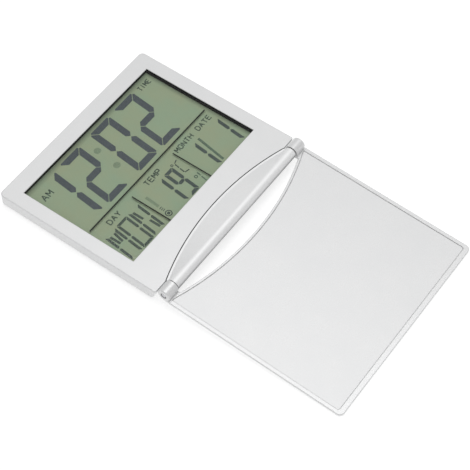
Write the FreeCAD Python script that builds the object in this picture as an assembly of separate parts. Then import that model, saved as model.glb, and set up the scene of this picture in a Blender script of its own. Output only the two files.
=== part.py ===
"""Folding LCD travel clock: a slim clock body with a lidded display, opened out flat.

Frame: +X along the hinge, +Y from the hinge to the top of the display, +Z up.  The origin is the centre
of the footprint on the table.  Every shape is first built with y measured from the hinge axis and is moved
by HINGE_Y when it is written.  Millimetres throughout.
"""
import FreeCAD
import Part

import math
import os

from FreeCAD import Vector

# ---- driving dimensions: clock body ----
BODY_WIDTH = 80.0
BODY_REACH = 71.44            # hinge axis to the far wall
BODY_HEIGHT = 6.0             # table to display face
BODY_CORNER = 1.8             # far corners seen from above
BODY_NEAR_CORNER = 0.8
BODY_EDGE = 0.45              # rounding round the display face
SIDE_WALL = 1.5
TOP_WALL = 1.2
REAR_PLATE = 1.2              # rear case plate, chamfered over its whole thickness
REAR_CHAMFER = 1.2            # how far the chamfer goes in
END_WALL = 3.7                # depth of the solid end of the front case behind the hinge
END_DRAFT = 1.8               # how far the end wall falls back between face and rear case
LIP_HEIGHT = 0.8              # rear case locating lip
LIP_WALL = 0.8
FIT_GAP = 0.1                 # between two pieces that slide together at assembly

# ---- driving dimensions: hinge ----
KNUCKLE_RADIUS = 2.45
KNUCKLE_LENGTH = 5.15
KNUCKLE_INSET = 0.5           # knuckle end inside the clock body's side
KNUCKLE_EDGE = 0.5
BAR_RADIUS = 2.2
HINGE_GAP = 0.3               # knuckle to bar end
BODY_END_GAP = 0.35           # knuckle to clock body
PIN_RADIUS = 0.6
PIN_LENGTH = 11.0
PIN_HEAD_RADIUS = 0.8
PIN_HEAD_LENGTH = 0.5
PIN_HEAD_SUNK = 0.15          # head face below the knuckle's end
PIN_RECESS_RADIUS = 1.2
PIN_HEAD_EDGE = 0.125
PIN_RUNNING_FIT = 0.05        # radial, pin to knuckle
PIN_TIGHT_FIT = 0.02          # radial, pin to bar
CRESCENT_REACH = 9.05         # hinge axis to the middle of the crescent's seam
CRESCENT_END_REACH = 3.17     # hinge axis to the seam beside the knuckles
CRESCENT_BASE = 1.0           # base plate let into the display face
CRESCENT_SHELF = 0.75         # flat strip between seam and slope
CRESCENT_TOP_Y = 0.7          # where the slope runs into the round bar
SEAM_GAP = 0.32
SEAT_FLOOR = 1.2              # case material left under the crescent
PEG_RADIUS = 0.9
PEG_LENGTH = 1.4
PEG_FIT = 0.04
PEG_SPREAD = 22.0             # outer pegs from the middle one
PEG_MARGIN = 2.75             # peg centres behind the seam, but for the outer pegs' extra
PEG_OUTER_EXTRA = 1.5

# ---- driving dimensions: cover ----
COVER_SIDE_INSET = 0.2        # cover's side inside the clock body's side
COVER_OVERHANG = 0.0          # cover's far edge past the body's far wall when it is shut
COVER_THICKNESS = 1.25
COVER_CORNER = 1.8
COVER_SHOULDER_Y = 2.5        # where the full width starts
COVER_EDGE_OUTER = 0.5
COVER_EDGE_INNER = 0.25
COVER_ARC_REACH = 8.8         # hinge axis to the middle of the concave edge
COVER_ARC_END = 3.1           # hinge axis to the concave edge beside the knuckles
COVER_RIM = 1.45
COVER_FAR_RIM = 1.95
COVER_ARC_RIM = 0.9
PANEL_CORNER = 0.8
PANEL_KNUCKLE_GAP = 0.4       # panel's near corners short of the knuckles
PANEL_SUNK = 0.3
PANEL_THICKNESS = 0.3
PANEL_FIT = 0.04
RECESS_EDGE = 0.15            # chamfer round the mouth of the panel's recess

# ---- driving dimensions: display ----
WINDOW_SIDE_BEZEL = 5.5
WINDOW_NEAR_BEZEL = 7.5       # between the crescent's seam and the window
WINDOW_FAR_BEZEL = 6.67
WINDOW_EDGE = 0.12
WINDOW_LIP = 0.35
FILM_GAP = 0.04               # adhesive between stacked display layers
LENS_THICKNESS = 0.5
LENS_MARGIN = 1.6
SPACER_THICKNESS = 0.65
SPACER_STEP = 0.6             # the spacer stands this far into the window at its right side
POLARISER = 0.1
FRONT_GLASS = 0.3
LCD_CELL_GAP = 0.1
REAR_GLASS = 0.4
REFLECTOR = 0.12
GLASS_MARGIN_X = 2.2
GLASS_MARGIN_Y = 1.7
CONTACT_LEDGE = 1.9           # front glass overhang that carries the display's contacts
SEAL_WIDTH = 0.8

# ---- driving dimensions: electronics ----
BOARD_THICKNESS = 0.6
BOARD_SIDE_GAP = 1.2          # between board and side wall
BOARD_NEAR_GAP = 1.9          # between board and the solid end wall
BOARD_FAR_GAP = 3.54
ZEBRA_WIDTH = 1.5
ZEBRA_END_GAP = 3.5           # strip ends inside the window's sides
CHIP_RADIUS = 4.5
CHIP_HEIGHT = 0.9
CHIP_FROM_CORNER = (13.3, 27.6)
CRYSTAL_RADIUS = 0.7
CRYSTAL_LENGTH = 5.0
CRYSTAL_FROM_CORNER = (8.3, 2.3)
THERMISTOR_RADIUS = 0.65
THERMISTOR_FROM_CORNER = (7.3, 2.5)
THERMISTOR_SLENDERNESS = 3.0  # bead length over bead radius
LEAD_RADIUS = 0.12
LEAD_SPREAD = 0.35
SMD_SIZE = (1.6, 0.8, 0.5)
SMD_PITCH = 2.6
SMD_ROWS = 2
SMD_COLUMNS = 4
SMD_FROM_CORNER = (18.8, 13.4)
PIEZO_RADIUS = 7.5
PIEZO_THICKNESS = 0.3
PIEZO_STAND = 0.4             # ring that holds the disc off the rear plate
PIEZO_RING = 1.0
PIEZO_FROM_CORNER = (9.8, 16.4)
PIEZO_SPRING_RADIUS = 0.6
SOUND_HOLE_RADIUS = 0.6
SOUND_HOLE_CIRCLE = 2.6
SOUND_HOLE_COUNT = 6

# ---- driving dimensions: battery ----
CELL_RADIUS = 10.0
CELL_THICKNESS = 1.6
CELL_BOTTOM = 0.9
CELL_EDGE = 0.2
CELL_FROM_FAR_WALL = 27.44
DOOR_OVERLAP = 0.9            # how far the door covers the ledge round the cell's hole
DOOR_SIDE_GAP = 0.2
DOOR_BOTTOM = 0.1
DOOR_THICKNESS = 0.5
DOOR_LEDGE = 0.7              # depth of the door's seat in the rear plate
CELL_HOLE_GAP = 0.6           # radial, cell to the hole in the rear plate
LUG_NECK_GAPS = (0.12, 0.15)  # neck of a lug to the cell, and to the hole
LUG_INSET = 0.1               # lug's end inside the door's rim
LUG_FIRST_ANGLE = 30.0
LUG_HALF_ANGLE = 9.0
LUG_THICKNESS = 0.4
LUG_GAP = 0.12
LUG_COUNT = 3
LUG_NOTCH_EXTRA = 3.0         # degrees of room round each lug on its way in
DOOR_TURN = 50.0              # degrees from locked to free
COIN_SLOT = (11.0, 1.3, 0.35)
CONTACT_THICKNESS = 0.2
CONTACT_WIDTH = 4.0
CONTACT_LENGTH = 13.0
CLIP_BOTTOM = 0.2             # positive clip above the top of the door's lugs
CLIP_HALF_ANGLE = 22.0
CLIP_GAP = 0.02

# ---- driving dimensions: buttons and fasteners ----
BUTTON_NAMES = ("mode_button", "set_button", "up_button", "down_button")
BUTTON_PITCH = 16.0
BUTTON_FROM_BOARD_EDGE = 4.2
BUTTON_RADIUS = 2.4
BUTTON_HOLE_GAP = 0.15
BUTTON_SUNK = 0.35
BUTTON_EDGE = 0.3
BUTTON_FLANGE_RADIUS = 3.0
BUTTON_FLANGE = 0.3
BUTTON_FLANGE_GAP = 0.1
BUTTON_STEM_RADIUS = 1.2
BUTTON_TRAVEL = 0.4
BUTTON_END_GAP = 0.05
DOME_RADIUS = 2.2
DOME_THICKNESS = 0.2
BOSS_RADIUS = 1.6
BOSS_FAR_INSET = (1.7, 1.64)  # from the inner faces of the side wall and the far wall
BOSS_NEAR_INSET = (1.9, 2.3)  # from the inner faces of the side wall and the end wall
SCREW_RADIUS = 0.7
SCREW_FIT = 0.03
SCREW_HEAD_RADIUS = 1.4
SCREW_HEAD_HEIGHT = 0.8
SCREW_HEAD_SUNK = 0.3
SCREW_HEAD_GAP = 0.15
SCREW_LENGTH = 3.3
SCREW_SLOT = (0.35, 0.35)
PAD_HEIGHT = 0.8              # rear case pad under each boss
POST_RADIUS = 1.3
POST_SIDE_INSET = 5.3         # posts under the board, from its edges
POST_NEAR_INSET = 12.6
POST_FAR_INSET = 4.4
POST_MIDDLE_INSET = 7.6       # the middle near post stands between two buttons

TINY = 1e-3                   # tolerance for picking edges by place

# ---- heights that follow, all above the table ----
AXIS_Z = BODY_HEIGHT
CAVITY_TOP = BODY_HEIGHT - TOP_WALL
LENS_TOP = BODY_HEIGHT - WINDOW_LIP - FILM_GAP
LENS_BOTTOM = LENS_TOP - LENS_THICKNESS
SPACER_TOP = LENS_BOTTOM - FILM_GAP
SPACER_BOTTOM = SPACER_TOP - SPACER_THICKNESS
POLARISER_TOP = SPACER_BOTTOM - FILM_GAP
FRONT_GLASS_TOP = POLARISER_TOP - POLARISER
FRONT_GLASS_BOTTOM = FRONT_GLASS_TOP - FRONT_GLASS
REAR_GLASS_TOP = FRONT_GLASS_BOTTOM - LCD_CELL_GAP
REAR_GLASS_BOTTOM = REAR_GLASS_TOP - REAR_GLASS
REFLECTOR_TOP = REAR_GLASS_BOTTOM - FILM_GAP
BOARD_TOP = REFLECTOR_TOP - REFLECTOR
BOARD_BOTTOM = BOARD_TOP - BOARD_THICKNESS
CELL_TOP = CELL_BOTTOM + CELL_THICKNESS
LUG_BOTTOM = REAR_PLATE + LUG_GAP
LUG_TOP = LUG_BOTTOM + LUG_THICKNESS
PIEZO_BOTTOM = REAR_PLATE + PIEZO_STAND
PIEZO_TOP = PIEZO_BOTTOM + PIEZO_THICKNESS

# ---- places that follow ----
HALF_WIDTH = BODY_WIDTH / 2
KNUCKLE_OUTER_X = HALF_WIDTH - KNUCKLE_INSET
COVER_WIDTH = BODY_WIDTH - 2 * COVER_SIDE_INSET
COVER_REACH = BODY_REACH + COVER_OVERHANG
WINDOW_HALF_WIDTH = HALF_WIDTH - WINDOW_SIDE_BEZEL
WINDOW_NEAR = CRESCENT_REACH + WINDOW_NEAR_BEZEL
WINDOW_FAR = BODY_REACH - WINDOW_FAR_BEZEL
BODY_NEAR = KNUCKLE_RADIUS + BODY_END_GAP         # end of the display face beside the knuckles
BODY_REAR_NEAR = BODY_NEAR + END_DRAFT            # end of the side walls at the rear case
CAVITY_NEAR = BODY_NEAR + END_WALL
CAVITY_FAR = BODY_REACH - SIDE_WALL
CAVITY_HALF = HALF_WIDTH - SIDE_WALL
KNUCKLE_INNER_X = KNUCKLE_OUTER_X - KNUCKLE_LENGTH
BAR_HALF = KNUCKLE_INNER_X - HINGE_GAP
RIM_DROP = KNUCKLE_RADIUS - COVER_THICKNESS       # hinge axis down to the cover's inner rim
GLASS_HALF = WINDOW_HALF_WIDTH + GLASS_MARGIN_X
GLASS_NEAR = WINDOW_NEAR - GLASS_MARGIN_Y
GLASS_FAR = WINDOW_FAR + GLASS_MARGIN_Y
LENS_HALF = WINDOW_HALF_WIDTH + LENS_MARGIN
LENS_NEAR = WINDOW_NEAR - LENS_MARGIN
LENS_FAR = WINDOW_FAR + LENS_MARGIN
BOARD_HALF_WIDTH = CAVITY_HALF - BOARD_SIDE_GAP
BOARD_NEAR = CAVITY_NEAR + BOARD_NEAR_GAP
BOARD_FAR = CAVITY_FAR - BOARD_FAR_GAP
ZEBRA_HALF_LENGTH = WINDOW_HALF_WIDTH - ZEBRA_END_GAP
CHIP_PLACE = (BOARD_HALF_WIDTH - CHIP_FROM_CORNER[0], BOARD_NEAR + CHIP_FROM_CORNER[1])
CRYSTAL_PLACE = (-BOARD_HALF_WIDTH + CRYSTAL_FROM_CORNER[0], BOARD_NEAR + CRYSTAL_FROM_CORNER[1])
THERMISTOR_PLACE = (BOARD_HALF_WIDTH - THERMISTOR_FROM_CORNER[0], BOARD_NEAR + THERMISTOR_FROM_CORNER[1])
SMD_PLACE = (BOARD_HALF_WIDTH - SMD_FROM_CORNER[0], BOARD_FAR - SMD_FROM_CORNER[1])
PIEZO_PLACE = (-BOARD_HALF_WIDTH + PIEZO_FROM_CORNER[0], BOARD_FAR - PIEZO_FROM_CORNER[1])
CELL_PLACE = (0.0, BODY_REACH - CELL_FROM_FAR_WALL)
CELL_HOLE_RADIUS = CELL_RADIUS + CELL_HOLE_GAP
DOOR_RADIUS = CELL_HOLE_RADIUS + DOOR_OVERLAP
LUG_NECK = (CELL_RADIUS + LUG_NECK_GAPS[0], CELL_HOLE_RADIUS - LUG_NECK_GAPS[1])
LUG_RADIUS = DOOR_RADIUS - LUG_INSET
BUTTON_Y = BOARD_NEAR + BUTTON_FROM_BOARD_EDGE


def arc_radius(half_chord, rise):
    """Radius of the arc that rises so far above the middle of its chord."""
    return (half_chord ** 2 + rise ** 2) / (2 * rise)


def arc_chord(radius, rise):
    """Half the chord under the arc's middle stretch of that rise."""
    return math.sqrt(2 * radius * rise - rise ** 2)


CRESCENT_ARC = arc_radius(KNUCKLE_INNER_X, CRESCENT_REACH - CRESCENT_END_REACH)
COVER_ARC = arc_radius(KNUCKLE_INNER_X, COVER_ARC_REACH - COVER_ARC_END)


def mirrored(x, y):
    """The same place on both sides of the middle."""
    return [(-x, y), (x, y)]


BOSS_PLACES = (mirrored(CAVITY_HALF - BOSS_FAR_INSET[0], CAVITY_FAR - BOSS_FAR_INSET[1])
               + mirrored(CAVITY_HALF - BOSS_NEAR_INSET[0], CAVITY_NEAR + BOSS_NEAR_INSET[1]))
POST_PLACES = [(0.0, BOARD_NEAR + POST_MIDDLE_INSET), (0.0, BOARD_FAR - POST_FAR_INSET)]
POST_PLACES += mirrored(BOARD_HALF_WIDTH - POST_SIDE_INSET, BOARD_NEAR + POST_NEAR_INSET)
POST_PLACES += mirrored(BOARD_HALF_WIDTH - POST_SIDE_INSET, BOARD_FAR - POST_FAR_INSET)
PEG_PLACES = [(0.0, CRESCENT_REACH - PEG_MARGIN)]
PEG_PLACES += mirrored(PEG_SPREAD, CRESCENT_REACH - PEG_MARGIN - PEG_OUTER_EXTRA)


def resting_tilt():
    """Angle, in radians, at which the open cover's far outer edge just touches the table."""
    side = COVER_REACH - COVER_EDGE_OUTER
    drop = KNUCKLE_RADIUS - COVER_EDGE_OUTER
    needed = AXIS_Z - COVER_EDGE_OUTER
    return math.asin(needed / math.hypot(side, drop)) - math.atan2(drop, side)


TILT = resting_tilt()
COVER_FAR = COVER_REACH * math.cos(TILT) - RIM_DROP * math.sin(TILT)
HINGE_Y = (COVER_FAR - BODY_REACH) / 2


# ---- small helpers ----
def middle_of(edge):
    """Point halfway along an edge."""
    return edge.valueAt((edge.FirstParameter + edge.LastParameter) / 2)


def block(x_low, x_high, y_low, y_high, z_low, z_high):
    corner = Vector(x_low, y_low, z_low)
    return Part.makeBox(x_high - x_low, y_high - y_low, z_high - z_low, corner)


def disc(place, radius, z_low, z_high):
    return Part.makeCylinder(radius, z_high - z_low, Vector(place[0], place[1], z_low))


def ring(place, inner, outer, z_low, z_high):
    return disc(place, outer, z_low, z_high).cut(disc(place, inner, z_low, z_high))


def rod_x(radius, x_low, x_high, y=0.0, z=0.0):
    """Cylinder along X."""
    return Part.makeCylinder(radius, x_high - x_low, Vector(x_low, y, z), Vector(1, 0, 0))


def ring_sector(place, inner, outer, centre_angle, half_angle, z_low, z_high):
    """Part of a flat ring, given by the angle at its middle."""
    height = z_high - z_low
    corner = Vector(place[0], place[1], z_low)
    wedge = Part.makeCylinder(outer, height, corner, Vector(0, 0, 1), 2 * half_angle)
    wedge.rotate(corner, Vector(0, 0, 1), centre_angle - half_angle)
    return wedge.cut(disc(place, inner, z_low, z_high))


def arc(start, middle, end):
    return Part.Arc(start, middle, end).toShape()


def line(start, end):
    return Part.makeLine(start, end)


def rounded_rectangle(half_width, y_low, y_high, radius_low, radius_high, z):
    """Closed wire, symmetrical about x = 0, with one corner radius at each end."""
    edges = []
    corners = (
        (half_width, y_high, radius_high, 0),
        (-half_width, y_high, radius_high, 90),
        (-half_width, y_low, radius_low, 180),
        (half_width, y_low, radius_low, 270),
    )
    last = None
    first = None
    for x, y, radius, start_angle in corners:
        centre = Vector(x - math.copysign(radius, x), y - radius if y == y_high else y + radius, z)
        points = []
        for step in (0, 45, 90):
            angle = math.radians(start_angle + step)
            points.append(centre + Vector(math.cos(angle), math.sin(angle), 0) * radius)
        if last is not None:
            edges.append(line(last, points[0]))
        first = first or points[0]
        edges.append(arc(*points))
        last = points[2]
    edges.append(line(last, first))
    return Part.Wire(edges)


def plate(wire, height):
    return Part.Face(wire).extrude(Vector(0, 0, height))


def edges_at_height(shape, z):
    """Edges that lie wholly at one height."""
    return [edge for edge in shape.Edges
            if abs(edge.BoundBox.ZMin - z) < TINY and abs(edge.BoundBox.ZMax - z) < TINY]


def is_upright(edge):
    """True for an edge that stays at one x and climbs."""
    box = edge.BoundBox
    return box.XMax - box.XMin < TINY and box.ZMax - box.ZMin > TINY


def arc_drop(radius, x):
    """How far an arc has fallen from its middle at a distance x to the side."""
    return radius - math.sqrt(radius * radius - x * x)


def crescent_wire(half_width, y_near, inset, z):
    """Outline under the crescent: straight on the hinge side, the seam's arc on the other."""
    radius = CRESCENT_ARC - inset
    reach = CRESCENT_REACH - inset
    y_end = reach - arc_drop(radius, half_width)
    left_near = Vector(-half_width, y_near, z)
    right_near = Vector(half_width, y_near, z)
    right_far = Vector(half_width, y_end, z)
    left_far = Vector(-half_width, y_end, z)
    return Part.Wire([
        line(left_near, right_near),
        line(right_near, right_far),
        arc(right_far, Vector(0, reach, z), left_far),
        line(left_far, left_near),
    ])


# ---- clock body ----
def front_case():
    """Bezel and side walls in one moulding, open at the back, with a drafted solid end at the hinge."""
    profile = Part.makePolygon([
        Vector(-HALF_WIDTH, BODY_NEAR, BODY_HEIGHT),
        Vector(-HALF_WIDTH, BODY_REACH, BODY_HEIGHT),
        Vector(-HALF_WIDTH, BODY_REACH, REAR_PLATE),
        Vector(-HALF_WIDTH, BODY_REAR_NEAR, REAR_PLATE),
        Vector(-HALF_WIDTH, BODY_NEAR, BODY_HEIGHT),
    ])
    body = Part.Face(profile).extrude(Vector(BODY_WIDTH, 0, 0))
    far_corners = [edge for edge in body.Edges if is_upright(edge) and edge.BoundBox.YMin > BODY_REACH - TINY]
    body = body.makeFillet(BODY_CORNER, far_corners)
    near_corners = [edge for edge in body.Edges if is_upright(edge) and edge.BoundBox.YMax < CAVITY_NEAR]
    body = body.makeFillet(BODY_NEAR_CORNER, near_corners)
    body = body.makeFillet(BODY_EDGE, edges_at_height(body, BODY_HEIGHT))

    cavity = block(-CAVITY_HALF, CAVITY_HALF, CAVITY_NEAR, CAVITY_FAR, REAR_PLATE, CAVITY_TOP)
    pocket = block(-LENS_HALF - FIT_GAP, LENS_HALF + FIT_GAP, LENS_NEAR - FIT_GAP, LENS_FAR + FIT_GAP,
                   CAVITY_TOP, BODY_HEIGHT - WINDOW_LIP)
    window = block(-WINDOW_HALF_WIDTH, WINDOW_HALF_WIDTH, WINDOW_NEAR, WINDOW_FAR,
                   BODY_HEIGHT - WINDOW_LIP, BODY_HEIGHT)
    body = body.cut(cavity).cut(pocket).cut(window)
    window_edges = [
        edge for edge in edges_at_height(body, BODY_HEIGHT)
        if WINDOW_NEAR - TINY < edge.BoundBox.YMin and edge.BoundBox.YMax < WINDOW_FAR + TINY
        and edge.BoundBox.XMin > -WINDOW_HALF_WIDTH - TINY
        and edge.BoundBox.XMax < WINDOW_HALF_WIDTH + TINY
    ]
    body = body.makeChamfer(WINDOW_EDGE, window_edges)

    seat_z = BODY_HEIGHT - CRESCENT_BASE
    seat_block = plate(crescent_wire(BAR_HALF, CAVITY_NEAR - FIT_GAP, -SEAT_FLOOR, seat_z - SEAT_FLOOR),
                       SEAT_FLOOR)
    body = body.fuse(seat_block)
    seat = plate(crescent_wire(KNUCKLE_INNER_X, 0, 0, seat_z), CRESCENT_BASE + BODY_EDGE)
    body = body.cut(seat)
    for place in PEG_PLACES:
        body = body.cut(disc(place, PEG_RADIUS + PEG_FIT, seat_z - PEG_LENGTH - FIT_GAP, seat_z))
    for place in BOSS_PLACES:
        body = body.fuse(disc(place, BOSS_RADIUS, REAR_PLATE + PAD_HEIGHT, CAVITY_TOP))
        bore_top = REAR_PLATE + SCREW_LENGTH
        body = body.cut(disc(place, SCREW_RADIUS + SCREW_FIT, REAR_PLATE + PAD_HEIGHT, bore_top))
    return body.removeSplitter()


def rear_case():
    """Flat tray with a chamfered rim, a locating lip, and seats for the cell door, buttons and screws."""
    low = rounded_rectangle(HALF_WIDTH - REAR_CHAMFER, BODY_REAR_NEAR + REAR_CHAMFER,
                            BODY_REACH - REAR_CHAMFER, BODY_NEAR_CORNER, BODY_CORNER, 0)
    high = rounded_rectangle(HALF_WIDTH, BODY_REAR_NEAR, BODY_REACH,
                             BODY_NEAR_CORNER, BODY_CORNER, REAR_PLATE)
    tray = Part.makeLoft([low, high], True, True)

    lip_half = CAVITY_HALF - FIT_GAP
    lip_near = CAVITY_NEAR + FIT_GAP
    lip_far = CAVITY_FAR - FIT_GAP
    lip = block(-lip_half, lip_half, lip_near, lip_far, REAR_PLATE, REAR_PLATE + LIP_HEIGHT)
    lip = lip.cut(block(-lip_half + LIP_WALL, lip_half - LIP_WALL, lip_near + LIP_WALL,
                        lip_far - LIP_WALL, REAR_PLATE, REAR_PLATE + LIP_HEIGHT))
    tray = tray.fuse(lip)
    for place in POST_PLACES:
        tray = tray.fuse(disc(place, POST_RADIUS, REAR_PLATE, BOARD_BOTTOM))
    piezo_ring = ring(PIEZO_PLACE, PIEZO_RADIUS - PIEZO_RING, PIEZO_RADIUS, REAR_PLATE, PIEZO_BOTTOM)
    tray = tray.fuse(piezo_ring)

    for place in BOSS_PLACES:
        tray = tray.fuse(disc(place, BOSS_RADIUS, REAR_PLATE, REAR_PLATE + PAD_HEIGHT))
        head_top = SCREW_HEAD_SUNK + SCREW_HEAD_HEIGHT
        tray = tray.cut(disc(place, SCREW_HEAD_RADIUS + SCREW_HEAD_GAP, 0, head_top))
        tray = tray.cut(disc(place, SCREW_RADIUS + SCREW_FIT, head_top, REAR_PLATE + PAD_HEIGHT))

    for place in button_places():
        tray = tray.cut(disc(place, BUTTON_RADIUS + BUTTON_HOLE_GAP, 0, REAR_PLATE))

    tray = tray.cut(disc(CELL_PLACE, DOOR_RADIUS + DOOR_SIDE_GAP, 0, DOOR_LEDGE))
    tray = tray.cut(disc(CELL_PLACE, CELL_HOLE_RADIUS, 0, REAR_PLATE))
    for angle in lug_angles():
        notch = ring_sector(CELL_PLACE, CELL_HOLE_RADIUS - FIT_GAP, LUG_RADIUS + FIT_GAP,
                            angle + DOOR_TURN, LUG_HALF_ANGLE + LUG_NOTCH_EXTRA, DOOR_LEDGE, REAR_PLATE)
        tray = tray.cut(notch)

    tray = tray.cut(disc(PIEZO_PLACE, SOUND_HOLE_RADIUS, 0, REAR_PLATE))
    for number in range(SOUND_HOLE_COUNT):
        angle = 2 * math.pi * number / SOUND_HOLE_COUNT
        place = (PIEZO_PLACE[0] + SOUND_HOLE_CIRCLE * math.cos(angle),
                 PIEZO_PLACE[1] + SOUND_HOLE_CIRCLE * math.sin(angle))
        tray = tray.cut(disc(place, SOUND_HOLE_RADIUS, 0, REAR_PLATE))
    return tray.removeSplitter()


def hinge_crescent():
    """Round hinge bar with a lens-shaped slope behind it, let into the display face on a base plate."""
    bar = rod_x(BAR_RADIUS, -BAR_HALF, BAR_HALF, z=AXIS_Z)
    base = plate(crescent_wire(BAR_HALF, 0, SEAM_GAP, BODY_HEIGHT - CRESCENT_BASE), CRESCENT_BASE)
    low = crescent_wire(BAR_HALF, 0, SEAM_GAP + CRESCENT_SHELF, BODY_HEIGHT)
    top_z = AXIS_Z + math.sqrt(BAR_RADIUS ** 2 - CRESCENT_TOP_Y ** 2)
    corners = (
        Vector(-BAR_HALF, 0, top_z),
        Vector(BAR_HALF, 0, top_z),
        Vector(BAR_HALF, CRESCENT_TOP_Y, top_z),
        Vector(-BAR_HALF, CRESCENT_TOP_Y, top_z),
    )
    high = Part.makePolygon(list(corners) + [corners[0]])
    slope = Part.makeLoft([low, high], True, True)
    piece = bar.fuse(base).fuse(slope)
    for place in PEG_PLACES:
        seat_z = BODY_HEIGHT - CRESCENT_BASE
        piece = piece.fuse(disc(place, PEG_RADIUS, seat_z - PEG_LENGTH, seat_z))
    bore_depth = PIN_LENGTH - (KNUCKLE_LENGTH - PIN_HEAD_SUNK - PIN_HEAD_LENGTH) - HINGE_GAP + FIT_GAP
    for x_low in (-BAR_HALF, BAR_HALF - bore_depth):
        piece = piece.cut(rod_x(PIN_RADIUS + PIN_TIGHT_FIT, x_low, x_low + bore_depth, z=AXIS_Z))
    return piece.removeSplitter()


def hinge_pin(side):
    """Headed pin, pressed into the bar from outside; the cover's knuckle turns on it."""
    head_face = KNUCKLE_OUTER_X - PIN_HEAD_SUNK
    shoulder = head_face - PIN_HEAD_LENGTH
    pin = rod_x(PIN_RADIUS, shoulder - PIN_LENGTH, shoulder, z=AXIS_Z)
    head = rod_x(PIN_HEAD_RADIUS, shoulder, head_face, z=AXIS_Z)
    pin = pin.fuse(head)
    rim = [edge for edge in pin.Edges if edge.BoundBox.XMin > head_face - TINY]
    pin = pin.makeFillet(PIN_HEAD_EDGE, rim)
    if side < 0:
        pin = pin.mirror(Vector(0, 0, 0), Vector(1, 0, 0))
    return pin


# ---- display ----
def display_lens():
    return block(-LENS_HALF, LENS_HALF, LENS_NEAR, LENS_FAR, LENS_BOTTOM, LENS_TOP)


def lcd_spacer():
    """Black frame between lens and liquid crystal display."""
    frame = block(-LENS_HALF, LENS_HALF, LENS_NEAR, LENS_FAR, SPACER_BOTTOM, SPACER_TOP)
    return frame.cut(block(-WINDOW_HALF_WIDTH, WINDOW_HALF_WIDTH - SPACER_STEP,
                           WINDOW_NEAR, WINDOW_FAR, SPACER_BOTTOM, SPACER_TOP))


def front_polariser():
    return block(-GLASS_HALF, GLASS_HALF, GLASS_NEAR, GLASS_FAR, FRONT_GLASS_TOP, POLARISER_TOP)


def lcd_front_glass():
    return block(-GLASS_HALF, GLASS_HALF, GLASS_NEAR - CONTACT_LEDGE, GLASS_FAR,
                 FRONT_GLASS_BOTTOM, FRONT_GLASS_TOP)


def lcd_seal():
    """Glue line round the liquid crystal, between the two glasses."""
    seal = block(-GLASS_HALF, GLASS_HALF, GLASS_NEAR, GLASS_FAR, REAR_GLASS_TOP, FRONT_GLASS_BOTTOM)
    return seal.cut(block(-GLASS_HALF + SEAL_WIDTH, GLASS_HALF - SEAL_WIDTH, GLASS_NEAR + SEAL_WIDTH,
                          GLASS_FAR - SEAL_WIDTH, REAR_GLASS_TOP, FRONT_GLASS_BOTTOM))


def lcd_rear_glass():
    return block(-GLASS_HALF, GLASS_HALF, GLASS_NEAR, GLASS_FAR, REAR_GLASS_BOTTOM, REAR_GLASS_TOP)


def lcd_reflector():
    return block(-GLASS_HALF, GLASS_HALF, GLASS_NEAR, GLASS_FAR, BOARD_TOP, REFLECTOR_TOP)


def zebra_connector():
    """Rubber strip of alternating conductor, squeezed between board and contact ledge."""
    middle = GLASS_NEAR - CONTACT_LEDGE / 2
    return block(-ZEBRA_HALF_LENGTH, ZEBRA_HALF_LENGTH, middle - ZEBRA_WIDTH / 2,
                 middle + ZEBRA_WIDTH / 2, BOARD_TOP, FRONT_GLASS_BOTTOM)


# ---- electronics ----
def circuit_board():
    board = block(-BOARD_HALF_WIDTH, BOARD_HALF_WIDTH, BOARD_NEAR, BOARD_FAR, BOARD_BOTTOM, BOARD_TOP)
    for place in BOSS_PLACES:
        board = board.cut(disc(place, BOSS_RADIUS + DOOR_SIDE_GAP, BOARD_BOTTOM, BOARD_TOP))
    return board


def controller_chip():
    """Bare chip under a dome of black resin, on the board's underside."""
    ball = (CHIP_RADIUS ** 2 + CHIP_HEIGHT ** 2) / (2 * CHIP_HEIGHT)
    centre = Vector(CHIP_PLACE[0], CHIP_PLACE[1], BOARD_BOTTOM - CHIP_HEIGHT + ball)
    sphere = Part.makeSphere(ball, centre)
    return sphere.common(disc(CHIP_PLACE, CHIP_RADIUS, BOARD_BOTTOM - CHIP_HEIGHT, BOARD_BOTTOM))


def can_with_leads(place, radius, length):
    """Small round can lying on the board, with two bent-down leads."""
    x, y = place
    z = BOARD_TOP + radius
    can = rod_x(radius, x - length / 2, x + length / 2, y, z)
    for offset in (-LEAD_SPREAD, LEAD_SPREAD):
        lead = rod_x(LEAD_RADIUS, x + length / 2, x + length / 2 + 2 * radius, y + offset, z)
        end = Vector(x + length / 2 + 2 * radius, y + offset, BOARD_TOP)
        foot = Part.makeCylinder(LEAD_RADIUS, radius, end)
        knee = Part.makeSphere(LEAD_RADIUS, end + Vector(0, 0, radius))
        can = can.fuse(lead).fuse(knee).fuse(foot)
    return can


def quartz_crystal():
    return can_with_leads(CRYSTAL_PLACE, CRYSTAL_RADIUS, CRYSTAL_LENGTH)


def thermistor():
    return can_with_leads(THERMISTOR_PLACE, THERMISTOR_RADIUS, THERMISTOR_SLENDERNESS * THERMISTOR_RADIUS)


def smd_parts():
    """Resistors and capacitors in two rows on the board's underside."""
    parts = []
    for row in range(SMD_ROWS):
        for column in range(SMD_COLUMNS):
            x = SMD_PLACE[0] + column * SMD_PITCH
            y = SMD_PLACE[1] + row * SMD_PITCH
            parts.append(block(x, x + SMD_SIZE[0], y, y + SMD_SIZE[1],
                               BOARD_BOTTOM - SMD_SIZE[2], BOARD_BOTTOM))
    return Part.makeCompound(parts)


def piezo_buzzer():
    return disc(PIEZO_PLACE, PIEZO_RADIUS - FIT_GAP, PIEZO_BOTTOM, PIEZO_TOP)


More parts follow.
